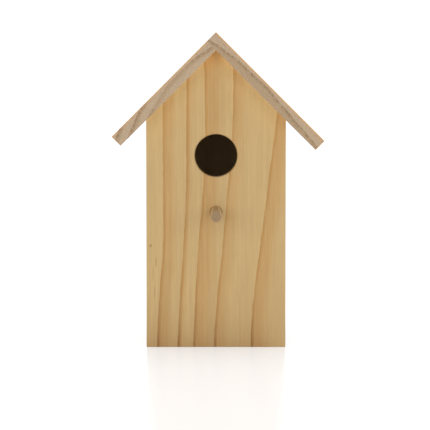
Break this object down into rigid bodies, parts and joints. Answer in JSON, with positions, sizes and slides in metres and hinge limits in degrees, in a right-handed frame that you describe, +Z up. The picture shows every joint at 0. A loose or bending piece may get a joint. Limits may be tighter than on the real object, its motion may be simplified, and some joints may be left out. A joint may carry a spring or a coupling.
{
  "type": "birdhouse",
  "caption": "Small gabled pine nest box with a round entrance hole, a dowel perch, a hinged clean-out floor held by a turn button, and a keyhole hanger in the back.",
  "frame": {"origin": "bottom centre of the whole object's bounding box, at the level of the base; the walls' centre plane is at X = -1.556 mm and the front face at Y = -27.5 mm", "axes": "+X to the right as seen from the front, +Y from the entrance hole towards the back, +Z up"},
  "size_m": [0.158, 0.155, 0.2371],
  "materials": {
    "pine_board": "planed and sanded, unpainted",
    "dowel_wood": "sanded, unpainted",
    "bright_steel": "satin",
    "zinc_plate": "zinc plated"
  },
  "bodies": {
    "root": {"front_panel": "pine_board", "back_panel": "pine_board", "left_wall": "pine_board", "right_wall": "pine_board", "left_roof_board": "pine_board", "right_roof_board": "pine_board", "perch_dowel": "dowel_wood", "front_glue_dowels": "dowel_wood", "back_brads": "bright_steel", "left_roof_brads": "bright_steel", "right_roof_brads": "bright_steel", "ridge_brads": "bright_steel", "left_pivot_nail": "bright_steel", "right_pivot_nail": "bright_steel", "keyhole_plate": "zinc_plate", "keyhole_screws": "zinc_plate"},
    "hatch": {"floor_board": "pine_board", "turn_button_washer": "zinc_plate", "turn_button_screw": "zinc_plate"},
    "latch": {"turn_button": "zinc_plate"}
  },
  "joints": [
    {"name": "floor_swing", "type": "hinge", "parent": "root", "child": "hatch", "pos_m": [-0.00156, 0.06285, 0.01275], "axis": [1, 0, 0], "range_deg": [0, 90]},
    {"name": "button_turn", "type": "hinge", "parent": "hatch", "child": "latch", "pos_m": [-0.00156, -0.007, 0.00595], "axis": [0, 0, 1], "range_deg": [0, 90]}
  ]
}
